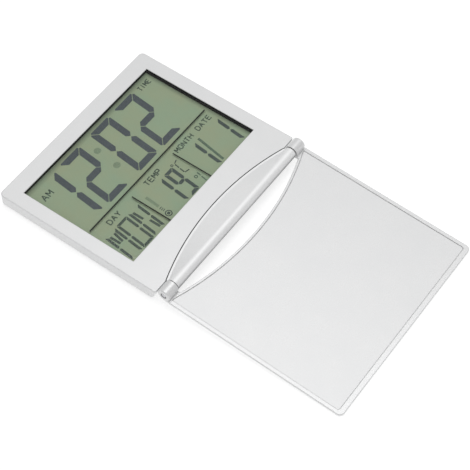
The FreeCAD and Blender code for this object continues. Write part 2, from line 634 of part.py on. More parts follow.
def piezo_springs():
    """Two contact springs, drawn as their outer envelopes, from the buzzer disc up to the board."""
    x, y = PIEZO_PLACE
    springs = []
    for offset in (0, PIEZO_RADIUS - 2 * PIEZO_SPRING_RADIUS):
        springs.append(disc((x + offset, y), PIEZO_SPRING_RADIUS, PIEZO_TOP, BOARD_BOTTOM))
    return Part.makeCompound(springs)


# ---- battery ----
def battery_cell():
    cell = disc(CELL_PLACE, CELL_RADIUS, CELL_BOTTOM, CELL_TOP)
    return cell.makeFillet(CELL_EDGE, edges_at_height(cell, CELL_BOTTOM) + edges_at_height(cell, CELL_TOP))


def negative_contact():
    """Leaf from the board's underside to the top of the cell."""
    x, y = CELL_PLACE
    half = CONTACT_WIDTH / 2
    tab = block(x - half, x + half, y, y + CONTACT_LENGTH, BOARD_BOTTOM - CONTACT_THICKNESS, BOARD_BOTTOM)
    tongue = block(x - half, x + half, y - half, y + CONTACT_THICKNESS, CELL_TOP,
                   CELL_TOP + CONTACT_THICKNESS)
    riser = block(x - half, x + half, y, y + CONTACT_THICKNESS, CELL_TOP, BOARD_BOTTOM)
    return tab.fuse(riser).fuse(tongue).removeSplitter()


def positive_contact():
    """Curved clip soldered to the board that bears on the side of the cell."""
    inner = CELL_RADIUS + CLIP_GAP
    return ring_sector(CELL_PLACE, inner, inner + CONTACT_THICKNESS, 0, CLIP_HALF_ANGLE,
                       LUG_TOP + CLIP_BOTTOM, BOARD_BOTTOM)


def lug_angles():
    return [360 / LUG_COUNT * number + LUG_FIRST_ANGLE for number in range(LUG_COUNT)]


def battery_door():
    """Round coin-slot door; three lugs on its rim turn in above the ledge of the rear case."""
    top = DOOR_BOTTOM + DOOR_THICKNESS
    door = disc(CELL_PLACE, DOOR_RADIUS, DOOR_BOTTOM, top)
    length, width, depth = COIN_SLOT
    x, y = CELL_PLACE
    slot = block(x - length / 2, x + length / 2, y - width / 2, y + width / 2,
                 DOOR_BOTTOM, DOOR_BOTTOM + depth)
    door = door.cut(slot)
    for angle in lug_angles():
        neck = ring_sector(CELL_PLACE, LUG_NECK[0], LUG_NECK[1], angle, LUG_HALF_ANGLE, top, LUG_TOP)
        lug = ring_sector(CELL_PLACE, LUG_NECK[0], LUG_RADIUS, angle, LUG_HALF_ANGLE, LUG_BOTTOM, LUG_TOP)
        door = door.fuse(neck).fuse(lug)
    return door.removeSplitter()


# ---- buttons and fasteners ----
def button_places():
    first = -BUTTON_PITCH * (len(BUTTON_NAMES) - 1) / 2
    return [(first + BUTTON_PITCH * number, BUTTON_Y) for number in range(len(BUTTON_NAMES))]


def button(place):
    """Round plunger, sunk in its hole, kept in by a flange and pressed up against a dome."""
    flange_bottom = REAR_PLATE + BUTTON_FLANGE_GAP
    flange_top = flange_bottom + BUTTON_FLANGE
    stem_top = BOARD_BOTTOM - DOME_THICKNESS - BUTTON_TRAVEL - BUTTON_END_GAP
    cap = disc(place, BUTTON_RADIUS, BUTTON_SUNK, flange_bottom)
    cap = cap.makeFillet(BUTTON_EDGE, edges_at_height(cap, BUTTON_SUNK))
    flange = disc(place, BUTTON_FLANGE_RADIUS, flange_bottom, flange_top)
    stem = disc(place, BUTTON_STEM_RADIUS, flange_top, stem_top)
    return cap.fuse(flange).fuse(stem).removeSplitter()


def button_domes():
    """Snap domes on the board's underside, one above each button."""
    domes = [disc(place, DOME_RADIUS, BOARD_BOTTOM - DOME_THICKNESS, BOARD_BOTTOM)
             for place in button_places()]
    return Part.makeCompound(domes)


def case_screws():
    """Four small pan-head screws with crossed slots, from the rear into the front case's bosses."""
    screws = []
    for place in BOSS_PLACES:
        head_top = SCREW_HEAD_SUNK + SCREW_HEAD_HEIGHT
        head = disc(place, SCREW_HEAD_RADIUS, SCREW_HEAD_SUNK, head_top)
        x, y = place
        width, depth = SCREW_SLOT
        half_length = SCREW_HEAD_RADIUS / 2
        slot_top = SCREW_HEAD_SUNK + depth
        head = head.cut(block(x - half_length, x + half_length, y - width / 2, y + width / 2,
                              SCREW_HEAD_SUNK, slot_top))
        head = head.cut(block(x - width / 2, x + width / 2, y - half_length, y + half_length,
                              SCREW_HEAD_SUNK, slot_top))
        shank = disc(place, SCREW_RADIUS, head_top, SCREW_LENGTH + REAR_PLATE - FIT_GAP)
        screws.append(head.fuse(shank).removeSplitter())
    return Part.makeCompound(screws)


# ---- cover ----
def cover_wire(z):
    """Outline of the cover plate, open flat: two ears under the knuckles and a concave edge between."""
    half = COVER_WIDTH / 2
    corner = COVER_CORNER
    bend = corner * (1 - math.sqrt(0.5))
    inner_y = -COVER_ARC_REACH + arc_drop(COVER_ARC, KNUCKLE_INNER_X)
    edges = []

    def side(sign):
        return [
            Vector(sign * KNUCKLE_INNER_X, inner_y, z),
            Vector(sign * KNUCKLE_INNER_X, 0, z),
            Vector(sign * KNUCKLE_OUTER_X, 0, z),
            Vector(sign * KNUCKLE_OUTER_X, -COVER_SHOULDER_Y, z),
            Vector(sign * half, -COVER_SHOULDER_Y, z),
            Vector(sign * half, -COVER_REACH + corner, z),
        ]

    right = side(1)
    left = side(-1)
    for start, end in zip(right, right[1:]):
        edges.append(line(start, end))
    right_far = Vector(half - corner, -COVER_REACH, z)
    left_far = Vector(-half + corner, -COVER_REACH, z)
    edges.append(arc(right[-1], Vector(half - bend, -COVER_REACH + bend, z), right_far))
    edges.append(line(right_far, left_far))
    edges.append(arc(left_far, Vector(-half + bend, -COVER_REACH + bend, z), left[-1]))
    for start, end in zip(left[::-1], left[::-1][1:]):
        edges.append(line(start, end))
    edges.append(arc(left[0], Vector(0, -COVER_ARC_REACH, z), right[0]))
    return Part.Wire(edges)


def panel_wire(inset, z):
    """Outline of the sunk panel: parallel to the cover's edges, with short near ends by the knuckles."""
    half = COVER_WIDTH / 2 - COVER_RIM - inset
    far = -COVER_REACH + COVER_FAR_RIM + inset
    radius = COVER_ARC + COVER_ARC_RIM + inset
    reach = COVER_ARC_REACH + COVER_ARC_RIM + inset
    near = -KNUCKLE_RADIUS - PANEL_KNUCKLE_GAP - inset
    arc_half = arc_chord(radius, reach + near)
    corner = PANEL_CORNER
    bend = corner * (1 - math.sqrt(0.5))
    right_near = Vector(half, near, z)
    left_near = Vector(-half, near, z)
    right_side = Vector(half, far + corner, z)
    left_side = Vector(-half, far + corner, z)
    right_far = Vector(half - corner, far, z)
    left_far = Vector(-half + corner, far, z)
    return Part.Wire([
        line(right_near, right_side),
        arc(right_side, Vector(half - bend, far + bend, z), right_far),
        line(right_far, left_far),
        arc(left_far, Vector(-half + bend, far + bend, z), left_side),
        line(left_side, left_near),
        line(left_near, Vector(-arc_half, near, z)),
        arc(Vector(-arc_half, near, z), Vector(0, -reach, z), Vector(arc_half, near, z)),
        line(Vector(arc_half, near, z), right_near),
    ])


def laid_open(shape):
    """Turn a cover piece from flat to its resting tilt about the hinge axis, at the axis height."""
    shape.rotate(Vector(0, 0, 0), Vector(1, 0, 0), math.degrees(TILT))
    shape.translate(Vector(0, 0, AXIS_Z))
    return shape


def recess_mouth(shell):
    """Edges of the panel's recess at the level of the rim."""
    outline = panel_wire(0, -RIM_DROP)
    return [edge for edge in edges_at_height(shell, -RIM_DROP)
            if outline.distToShape(Part.Vertex(middle_of(edge)))[0] < TINY]


def cover_shell():
    """Thin cover with a raised rim, and a knuckle at each end of its hinge side."""
    shell = plate(cover_wire(-KNUCKLE_RADIUS), COVER_THICKNESS)
    outer_edges = [edge for edge in edges_at_height(shell, -KNUCKLE_RADIUS)
                   if edge.BoundBox.YMin < -COVER_SHOULDER_Y - TINY]
    shell = shell.makeFillet(COVER_EDGE_OUTER, outer_edges)
    inner_edges = [edge for edge in edges_at_height(shell, -RIM_DROP)
                   if edge.BoundBox.YMin < -COVER_SHOULDER_Y - TINY]
    shell = shell.makeFillet(COVER_EDGE_INNER, inner_edges)
    for x_low in (-KNUCKLE_OUTER_X, KNUCKLE_INNER_X):
        knuckle = rod_x(KNUCKLE_RADIUS, x_low, x_low + KNUCKLE_LENGTH)
        outer_x = KNUCKLE_OUTER_X if x_low > 0 else -KNUCKLE_OUTER_X
        rim = [edge for edge in knuckle.Edges
               if abs(edge.BoundBox.XMin - outer_x) < TINY and abs(edge.BoundBox.XMax - outer_x) < TINY]
        knuckle = knuckle.makeFillet(KNUCKLE_EDGE, rim)
        shell = shell.fuse(knuckle)
    recess_depth = PANEL_SUNK + PANEL_THICKNESS
    shell = shell.cut(plate(panel_wire(0, -RIM_DROP - recess_depth), recess_depth))
    shell = shell.makeChamfer(RECESS_EDGE, recess_mouth(shell))
    shell = shell.cut(rod_x(PIN_RADIUS + PIN_RUNNING_FIT, -KNUCKLE_OUTER_X, KNUCKLE_OUTER_X))
    recess_length = PIN_HEAD_SUNK + PIN_HEAD_LENGTH + FIT_GAP
    for x_low in (-KNUCKLE_OUTER_X, KNUCKLE_OUTER_X - recess_length):
        shell = shell.cut(rod_x(PIN_RECESS_RADIUS, x_low, x_low + recess_length))
    return laid_open(shell.removeSplitter())


def cover_panel():
    """Thin plate glued into the cover's inner recess."""
    panel = plate(panel_wire(PANEL_FIT, -RIM_DROP - PANEL_SUNK - PANEL_THICKNESS), PANEL_THICKNESS)
    return laid_open(panel)


# ---- writing the parts ----
def write(name, shape):
    shape = shape.copy()
    shape.translate(Vector(0, HINGE_Y, 0))
    if not shape.isValid() or not shape.Solids:
        raise RuntimeError("bad shape: " + name)
    shape.exportStep("parts/" + name + ".step")


def main():
    os.makedirs("parts", exist_ok=True)
    write("front_case", front_case())
    write("rear_case", rear_case())
    write("hinge_crescent", hinge_crescent())
    write("hinge_pin_left", hinge_pin(-1))
    write("hinge_pin_right", hinge_pin(1))
    write("display_lens", display_lens())
    write("lcd_spacer", lcd_spacer())
    write("lcd_front_polariser", front_polariser())
    write("lcd_front_glass", lcd_front_glass())
    write("lcd_seal", lcd_seal())
    write("lcd_rear_glass", lcd_rear_glass())
    write("lcd_reflector", lcd_reflector())
    write("zebra_connector", zebra_connector())
    write("circuit_board", circuit_board())
    write("controller_chip", controller_chip())
    write("quartz_crystal", quartz_crystal())
    write("thermistor", thermistor())
    write("smd_parts", smd_parts())
    write("piezo_buzzer", piezo_buzzer())
    write("piezo_springs", piezo_springs())
    write("battery_cell", battery_cell())
    write("negative_contact", negative_contact())
    write("positive_contact", positive_contact())
    write("battery_door", battery_door())
    write("button_domes", button_domes())
    write("case_screws", case_screws())
    for name, place in zip(BUTTON_NAMES, button_places()):
        write(name, button(place))
    write("cover_shell", cover_shell())
    write("cover_panel", cover_panel())
    print("hinge axis at y %.4f z %.4f, resting tilt %.3f degrees" % (HINGE_Y, AXIS_Z, math.degrees(TILT)))


main()
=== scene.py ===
"""Looks for the folding travel clock: materials, printed and liquid crystal graphics, light and camera."""
import math
from collections import namedtuple

import bmesh
import bpy
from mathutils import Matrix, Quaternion, Vector


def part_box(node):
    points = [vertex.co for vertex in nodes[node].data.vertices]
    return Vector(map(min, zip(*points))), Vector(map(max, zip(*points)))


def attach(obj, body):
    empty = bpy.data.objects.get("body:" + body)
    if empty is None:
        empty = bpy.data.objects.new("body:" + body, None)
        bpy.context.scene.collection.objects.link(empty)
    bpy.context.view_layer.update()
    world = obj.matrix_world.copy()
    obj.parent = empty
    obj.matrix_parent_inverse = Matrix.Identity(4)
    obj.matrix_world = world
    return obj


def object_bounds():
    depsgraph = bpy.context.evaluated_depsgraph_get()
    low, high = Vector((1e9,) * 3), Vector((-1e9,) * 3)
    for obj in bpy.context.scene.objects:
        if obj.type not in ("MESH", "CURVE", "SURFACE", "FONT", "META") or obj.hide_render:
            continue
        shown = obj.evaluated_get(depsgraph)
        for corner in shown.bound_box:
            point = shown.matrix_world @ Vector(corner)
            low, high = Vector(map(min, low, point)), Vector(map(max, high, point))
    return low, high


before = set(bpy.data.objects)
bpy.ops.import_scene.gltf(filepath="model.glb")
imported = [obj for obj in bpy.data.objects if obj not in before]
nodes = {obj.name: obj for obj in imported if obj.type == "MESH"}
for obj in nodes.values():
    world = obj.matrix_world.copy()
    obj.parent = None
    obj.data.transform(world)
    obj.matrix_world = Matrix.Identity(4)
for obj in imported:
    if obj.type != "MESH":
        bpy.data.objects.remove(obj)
cad_low, cad_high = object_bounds()

MM = 0.001
WHITE = (1.0, 1.0, 1.0, 1.0)

# The display's own frame: millimetres from the lower left corner of the window.
LENS_MARGIN = 1.6
lens_low, lens_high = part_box("display_lens")
polariser_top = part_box("lcd_front_polariser")[1].z
WINDOW_X = lens_low.x + LENS_MARGIN * MM
WINDOW_Y = lens_low.y + LENS_MARGIN * MM

# Printed ink hangs under the window, and crystals lie on the polariser.
LAYER_GAP = 0.002 * MM
INK_THICKNESS = 0.015 * MM
CRYSTAL_THICKNESS = 0.02 * MM
PRINT_Z = lens_low.z - INK_THICKNESS - LAYER_GAP
CRYSTAL_Z = polariser_top + LAYER_GAP


# ---- node tools ----
PER_METRE = 1000
NOISE_RANGE = (0.3, 0.7)
WHOLE = (0.0, 1.0)

# Where a colour mix node has its factor, its two colours and its result.
MIX_FACTOR = 0
MIX_FIRST = 6
MIX_SECOND = 7
MIX_RESULT = 2


class Nodes:
    """A material's node tree with short calls for the nodes that these materials share."""

    def __init__(self, name):
        self.material = bpy.data.materials.new(name)
        self.material.use_nodes = True
        self.tree = self.material.node_tree
        self.tree.nodes.clear()
        self.output = self.tree.nodes.new("ShaderNodeOutputMaterial")

    def add(self, kind, inputs=None, **settings):
        node = self.tree.nodes.new(kind)
        for key, value in settings.items():
            setattr(node, key, value)
        for key, value in (inputs or {}).items():
            self.set(node, key, value)
        return node

    def set(self, node, key, value):
        if isinstance(value, bpy.types.NodeSocket):
            self.tree.links.new(value, node.inputs[key])
        else:
            node.inputs[key].default_value = value

    def place(self):
        """Object coordinates in millimetres."""
        coordinates = self.add("ShaderNodeTexCoord")
        scaled = self.add("ShaderNodeVectorMath", {0: coordinates.outputs["Object"], 1: (PER_METRE,) * 3},
                          operation="MULTIPLY")
        return scaled.outputs[0]

    def noise(self, scale, detail=2.0, roughness=0.5, place=None):
        node = self.add("ShaderNodeTexNoise", {"Vector": place or self.place(), "Scale": scale,
                                               "Detail": detail, "Roughness": roughness})
        return node.outputs["Fac"]

    def map(self, value, source, target):
        """The value, moved from one range to another and kept inside it."""
        node = self.add("ShaderNodeMapRange", {"Value": value, "From Min": source[0], "From Max": source[1],
                                               "To Min": target[0], "To Max": target[1]})
        return node.outputs["Result"]

    def spread(self, noise, target=WHOLE):
        """A noise's usual range, stretched over another one."""
        return self.map(noise, NOISE_RANGE, target)

    def blend(self, factor, first, second):
        """Mix of two colours."""
        node = self.add("ShaderNodeMix", data_type="RGBA")
        self.set(node, MIX_FACTOR, factor)
        self.set(node, MIX_FIRST, first)
        self.set(node, MIX_SECOND, second)
        return node.outputs[MIX_RESULT]

    def math(self, operation, first, second):
        node = self.add("ShaderNodeMath", {0: first, 1: second}, operation=operation)
        return node.outputs[0]

    def bump(self, height, strength, distance, normal=None):
        """A normal tilted by a height, on top of another normal where one is given."""
        node = self.add("ShaderNodeBump", {"Height": height, "Strength": strength, "Distance": distance})
        if normal is not None:
            self.set(node, "Normal", normal)
        return node.outputs["Normal"]

    def openness(self, reach):
        """One on an open surface, falling towards zero in a gap narrower than the reach."""
        node = self.add("ShaderNodeAmbientOcclusion", {"Distance": reach}, samples=8)
        return node.outputs["AO"]

    def sharpness(self, reach):
        """Zero on a flat face, more within the reach of an edge or an inner corner of the piece."""
        flat = self.add("ShaderNodeNewGeometry")
        likeness = self.add("ShaderNodeVectorMath", {0: self.edge(reach), 1: flat.outputs["Normal"]},
                            operation="DOT_PRODUCT")
        return self.math("SUBTRACT", 1.0, likeness.outputs["Value"])

    def height_of_normal(self):
        """One on a face that looks up in the part's own frame, minus one on a face that looks down."""
        coordinates = self.add("ShaderNodeTexCoord")
        split = self.add("ShaderNodeSeparateXYZ", {0: coordinates.outputs["Normal"]})
        return split.outputs["Z"]

    def edge(self, radius):
        """The normal of the piece with its edges rounded."""
        node = self.add("ShaderNodeBevel", {"Radius": radius}, samples=4)
        return node.outputs["Normal"]

    def finish(self, shader):
        self.tree.links.new(shader.outputs[0], self.output.inputs["Surface"])
        return self.material


def grey(value, warm=0.0):
    """Linear colour from an sRGB grey level, a little warmer or cooler."""
    level = value ** 2.2
    return (level * (1 + warm), level, level * (1 - warm), 1.0)


def srgb(red, green, blue):
    """Linear colour from sRGB levels out of 255."""
    return tuple((channel / 255) ** 2.2 for channel in (red, green, blue)) + (1.0,)


def darkened(colour, share):
    """The colour at a share of its brightness."""
    return tuple(channel * share for channel in colour[:3]) + (1.0,)


# ---- materials ----
SEAM_REACH = 1.1 * MM
EDGE_REACH = 0.4 * MM
SPRAYED_EDGE = 0.14 * MM

# Levels of the painted shade in seams, along edges and on undersides, as shares of the silver's own.
SEAM_SHADE_SHARE = 0.25
EDGE_SHADE_SHARE = 0.5
UNDERSIDE_SHADE_SHARE = 0.38


def silver_plastic(name, level, grain=0.06, roughness=0.42, seam_shade=0.8, edge_shade=0.25, underside_shade=0.0):
    """Moulded plastic under silver spray: flakes, clouding and orange peel, with painted shade in seams,
    along edges and on faces that look down.
    """
    n = Nodes(name)
    place = n.place()
    flakes = n.noise(scale=5.5, detail=3.0, roughness=0.7, place=place)
    clouds = n.noise(scale=0.11, place=place)
    peel = n.noise(scale=2.2, roughness=0.55, place=place)
    speckled = n.blend(n.spread(flakes), grey(level - grain), grey(level + grain / 2, warm=-0.004))
    cloudy = n.blend(n.spread(clouds, (0.0, 0.5)), speckled, grey(level - grain / 2, warm=-0.008))
    # Painted shade: the colour darkens in seams and gaps, where the surface is closed in.
    in_seams = n.map(n.openness(SEAM_REACH), (0.2, 0.8), (seam_shade, 0.0))
    seam_shaded = n.blend(in_seams, cloudy, grey(level * SEAM_SHADE_SHARE))
    # Painted shade: the colour darkens along edges and in inner corners.
    at_edges = n.map(n.sharpness(EDGE_REACH), (0.02, 0.25), (0.0, edge_shade))
    edge_shaded = n.blend(at_edges, seam_shaded, grey(level * EDGE_SHADE_SHARE))
    # Painted shade: faces that look down in the part's own frame come out darker.
    facing_down = n.map(n.height_of_normal(), (-0.1, 0.42), (underside_shade, 0.0))
    painted = n.blend(facing_down, edge_shaded, grey(level * UNDERSIDE_SHADE_SHARE))
    worn = n.map(flakes, (0.25, 0.75), (roughness - 0.07, roughness + 0.08))
    rough_paint = n.bump(flakes, 0.10, 0.03 * MM, n.edge(SPRAYED_EDGE))
    normal = n.bump(peel, 0.12, 0.05 * MM, rough_paint)
    shader = n.add("ShaderNodeBsdfPrincipled", {"Base Color": painted, "Roughness": worn, "Metallic": 0.25,
                                                "Normal": normal})
    return n.finish(shader)


def plain_plastic(name, colour, roughness=0.5, grain=0.25):
    """Through-coloured moulding with a spark-eroded texture."""
    n = Nodes(name)
    place = n.place()
    sparks = n.noise(scale=4.0, detail=3.0, roughness=0.6, place=place)
    patches = n.noise(scale=0.3, place=place)
    tone = n.blend(n.spread(patches), darkened(colour, 1 - grain), colour)
    rough = n.map(sparks, (0.25, 0.75), (roughness - 0.08, roughness + 0.08))
    normal = n.bump(sparks, 0.25, 0.04 * MM, n.edge(0.1 * MM))
    shader = n.add("ShaderNodeBsdfPrincipled", {"Base Color": tone, "Roughness": rough, "Normal": normal})
    return n.finish(shader)


def metal(name, colour, roughness=0.3, along=(1.0, 14.0, 14.0)):
    """Drawn or rolled metal with fine streaks and dulled patches."""
    n = Nodes(name)
    stretched = n.add("ShaderNodeVectorMath", {0: n.place(), 1: along}, operation="MULTIPLY")
    streaks = n.noise(scale=1.0, detail=4.0, roughness=0.6, place=stretched.outputs[0])
    stains = n.noise(scale=0.4, detail=3.0, roughness=0.6)
    tone = n.blend(n.map(stains, (0.35, 0.75), WHOLE), colour, darkened(colour, 0.72))
    rough = n.map(streaks, (0.2, 0.8), (roughness - 0.1, roughness + 0.14))
    normal = n.bump(streaks, 0.15, 0.02 * MM, n.edge(0.06 * MM))
    shader = n.add("ShaderNodeBsdfPrincipled", {"Base Color": tone, "Roughness": rough, "Metallic": 1.0,
                                                "Normal": normal})
    return n.finish(shader)


ACRYLIC_INDEX = 1.46


def clear_sheet(name, tint, strength, roughness):
    """Clear sheet: light goes straight through, and the surface reflects by its angle."""
    n = Nodes(name)
    smears = n.noise(scale=0.12, detail=3.0, roughness=0.6)
    gloss_rough = n.spread(smears, (roughness, roughness * 2.2))
    fresnel = n.add("ShaderNodeFresnel", {"IOR": ACRYLIC_INDEX})
    geometry = n.add("ShaderNodeNewGeometry")
    front = n.math("SUBTRACT", 1.0, geometry.outputs["Backfacing"])
    share = n.math("MULTIPLY", n.math("MULTIPLY", fresnel.outputs[0], front), strength)
    through = n.add("ShaderNodeBsdfTransparent", {"Color": tint})
    gloss = n.add("ShaderNodeBsdfPrincipled", {"Base Color": (0.9, 0.9, 0.9, 1.0), "Roughness": gloss_rough,
                                               "Metallic": 1.0})
    mixed = n.add("ShaderNodeMixShader", {0: share, 1: through.outputs[0], 2: gloss.outputs[0]})
    return n.finish(mixed)


# The display's right and far edges, in the part's millimetres, and how far the painted shadow of the
# window's walls reaches in from them.
SHADOW_EDGE_X = lens_high.x / MM - LENS_MARGIN
SHADOW_EDGE_Y = lens_high.y / MM - LENS_MARGIN
SHADOW_REACH = 2.4


def display_ground():
    """Reflective backing seen through the liquid crystal: grey-green, with a painted shadow of the window's
    walls darkening it towards the right and far edges.
    """
    n = Nodes("display_ground")
    place = n.place()
    sparkle = n.noise(scale=9.0, detail=3.0, roughness=0.7, place=place)
    clouds = n.noise(scale=0.07, detail=3.0, roughness=0.6, place=place)
    tone = n.blend(n.map(clouds, (0.35, 0.65), WHOLE), srgb(158, 165, 136), srgb(149, 167, 141))
    speckled = n.blend(n.map(sparkle, (0.35, 0.8), (0.0, 0.35)), tone, srgb(134, 149, 124))
    split = n.add("ShaderNodeSeparateXYZ", {0: place})
    # Painted shadow: the colour darkens towards the window's right and far edges.
    right = n.map(split.outputs["X"], (SHADOW_EDGE_X - SHADOW_REACH, SHADOW_EDGE_X), (0.0, 0.85))
    far = n.map(split.outputs["Y"], (SHADOW_EDGE_Y - SHADOW_REACH, SHADOW_EDGE_Y), (0.0, 0.60))
    edge_shadowed = n.blend(n.math("MAXIMUM", right, far), speckled, srgb(70, 80, 72))
    normal = n.bump(sparkle, 0.15, 0.02 * MM)
    shader = n.add("ShaderNodeBsdfPrincipled", {"Base Color": edge_shadowed, "Roughness": 0.6, "Normal": normal})
    return n.finish(shader)


def crystal(name, colour, cover):
    """Energised liquid crystal: dark, not quite opaque, slightly uneven."""
    n = Nodes(name)
    uneven = n.noise(scale=0.8, detail=3.0, roughness=0.6)
    tone = n.blend(n.spread(uneven), colour, darkened(colour, 0.85))
    through = n.add("ShaderNodeBsdfTransparent", {"Color": WHITE})
    solid = n.add("ShaderNodeBsdfPrincipled", {"Base Color": tone, "Roughness": 0.7})
    mixed = n.add("ShaderNodeMixShader", {0: cover, 1: through.outputs[0], 2: solid.outputs[0]})
    return n.finish(mixed)


def circuit_laminate():
    """Green lacquer over copper tracks."""
    n = Nodes("circuit_laminate")
    tracks = n.add("ShaderNodeTexBrick", {"Vector": n.place(), "Color1": srgb(24, 84, 48),
                                          "Color2": srgb(20, 74, 42), "Mortar": srgb(58, 128, 66),
                                          "Scale": 0.35, "Mortar Size": 0.035})
    weave = n.noise(scale=6.0)
    normal = n.bump(tracks.outputs["Fac"], 0.3, 0.03 * MM, n.bump(weave, 0.1, 0.02 * MM))
    shader = n.add("ShaderNodeBsdfPrincipled", {"Base Color": tracks.outputs["Color"], "Roughness": 0.32,
                                                "Normal": normal})
    return n.finish(shader)


def layered_rubber():
    """Conductive and insulating layers, end on."""
    n = Nodes("layered_rubber")
    wave = n.add("ShaderNodeTexWave", {"Vector": n.place(), "Scale": 1.6}, bands_direction="X")
    tone = n.blend(wave.outputs["Fac"], srgb(190, 96, 110), srgb(38, 34, 36))
    normal = n.bump(wave.outputs["Fac"], 0.3, 0.02 * MM)
    shader = n.add("ShaderNodeBsdfPrincipled", {"Base Color": tone, "Roughness": 0.7, "Normal": normal})
    return n.finish(shader)


TABLE_GLOW = 0.67


def table_top():
    """White photo table that glows a little, so that it comes out pure white as in the photo."""
    n = Nodes("table_top")
    mottle = n.noise(scale=0.02)
    tone = n.blend(n.spread(mottle), grey(0.70), grey(0.69))
    shader = n.add("ShaderNodeBsdfPrincipled", {"Base Color": tone, "Roughness": 0.9,
                                                "Specular IOR Level": 0.1,
                                                "Emission Color": WHITE,
                                                "Emission Strength": TABLE_GLOW})
    return n.finish(shader)


def dress(material, *names):
    """Gives the material to each of the named nodes."""
    for name in names:
        slots = nodes[name].data.materials
        if len(slots):
            slots[0] = material
        else:
            slots.append(material)


def dress_case():
    dress(silver_plastic("silver_case", level=0.905), "front_case", "rear_case")
    dress(silver_plastic("silver_bar", level=0.955, grain=0.05, roughness=0.5, edge_shade=0.3, underside_shade=0.85),
          "hinge_crescent")
    dress(silver_plastic("silver_door", level=0.905), "battery_door")
    dress(metal("pin_steel", srgb(205, 205, 208)), "hinge_pin_left", "hinge_pin_right", "case_screws")
    dress(plain_plastic("button_rubber", srgb(92, 94, 98), roughness=0.65), "mode_button", "set_button",
          "up_button", "down_button")


def dress_cover():
    dress(silver_plastic("silver_cover", level=0.895, grain=0.05, roughness=0.36, seam_shade=0.0, edge_shade=0.1),
          "cover_shell")
    dress(silver_plastic("silver_panel", level=0.895, grain=0.05, roughness=0.45, seam_shade=0.0, edge_shade=0.8),
          "cover_panel")


def dress_display():
    dress(clear_sheet("lens_acrylic", tint=(0.97, 0.98, 0.97, 1.0), strength=0.6, roughness=0.05),
          "display_lens")
    dress(display_ground(), "lcd_front_polariser", "lcd_reflector")
    dress(plain_plastic("display_glass", srgb(170, 188, 172), roughness=0.12, grain=0.08),
          "lcd_front_glass", "lcd_rear_glass")
    dress(plain_plastic("spacer_black", srgb(8, 9, 8), roughness=0.9, grain=0.1), "lcd_spacer")
    dress(plain_plastic("seal_glue", srgb(120, 130, 118)), "lcd_seal")
    dress(layered_rubber(), "zebra_connector")


def dress_electronics():
    dress(circuit_laminate(), "circuit_board")
    dress(plain_plastic("potting_resin", srgb(18, 18, 20), roughness=0.25, grain=0.1), "controller_chip")
    dress(metal("crystal_can", srgb(200, 200, 204), roughness=0.22), "quartz_crystal")
    dress(plain_plastic("thermistor_bead", srgb(34, 30, 26), roughness=0.35), "thermistor")
    dress(plain_plastic("smd_ceramic", srgb(146, 112, 82), roughness=0.4), "smd_parts")
    dress(metal("buzzer_brass", srgb(214, 182, 112), roughness=0.28, along=(3.0, 3.0, 3.0)), "piezo_buzzer")
    dress(metal("spring_steel", srgb(190, 190, 194), roughness=0.25), "piezo_springs", "negative_contact",
          "positive_contact", "button_domes")
    dress(metal("cell_nickel", srgb(212, 212, 214), roughness=0.2, along=(2.0, 2.0, 9.0)), "battery_cell")


dress_case()
dress_cover()
dress_display()
dress_electronics()


# ---- flat graphics as thin solids ----
def flat_piece(name, polygons, z, thickness, material):
    """Thin prisms on a display layer, from polygons in the display's millimetres."""
    mesh = bmesh.new()
    for polygon in polygons:
        rings = []
        for height in (z, z + thickness):
            rings.append([mesh.verts.new((WINDOW_X + x * MM, WINDOW_Y + y * MM, height))
                          for x, y in polygon])
        low, high = rings
        mesh.faces.new(low[::-1])
        mesh.faces.new(high)
        for number in range(len(polygon)):
            after = (number + 1) % len(polygon)
            mesh.faces.new((low[number], low[after], high[after], high[number]))
    bmesh.ops.recalc_face_normals(mesh, faces=mesh.faces)
    data = bpy.data.meshes.new(name)
    mesh.to_mesh(data)
    mesh.free()
    data.materials.append(material)
    piece = bpy.data.objects.new(name, data)
    bpy.context.scene.collection.objects.link(piece)
    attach(piece, "clock")


def bar(x_low, x_high, y_low, y_high):
    """A rectangle square to the display."""
    return [(x_low, y_low), (x_high, y_low), (x_high, y_high), (x_low, y_high)]


def round_spot(x, y, radius, sides=28):
    """A disc, as one polygon."""
    steps = [2 * math.pi * number / sides for number in range(sides)]
    return [(x + radius * math.cos(angle), y + radius * math.sin(angle)) for angle in steps]


def round_band(x, y, inner, outer, sides):
    """A ring, as one quadrilateral for each step round it."""
    band = []
    for number in range(sides):
        first = 2 * math.pi * number / sides
        second = 2 * math.pi * (number + 1) / sides
        corners = ((first, inner), (first, outer), (second, outer), (second, inner))
        band.append([(x + radius * math.cos(angle), y + radius * math.sin(angle))
                     for angle, radius in corners])
    return band


def stroke(x1, y1, x2, y2, width):
    """A straight stroke as a quadrilateral."""
    length = math.hypot(x2 - x1, y2 - y1)
    across_x = -(y2 - y1) / length * width / 2
    across_y = (x2 - x1) / length * width / 2
    return [(x1 + across_x, y1 + across_y), (x1 - across_x, y1 - across_y),
            (x2 - across_x, y2 - across_y), (x2 + across_x, y2 + across_y)]


# A character's sizes in millimetres: line is the width of a segment, gap the room left at its mitred ends,
# and corner the cut at an outer corner.
DigitStyle = namedtuple("DigitStyle", "width height line gap corner")

# The inner diagonals of a letter, as shares of a segment's width.
DIAGONAL_INSET = 1.15
DIAGONAL_WIDTH = 0.9


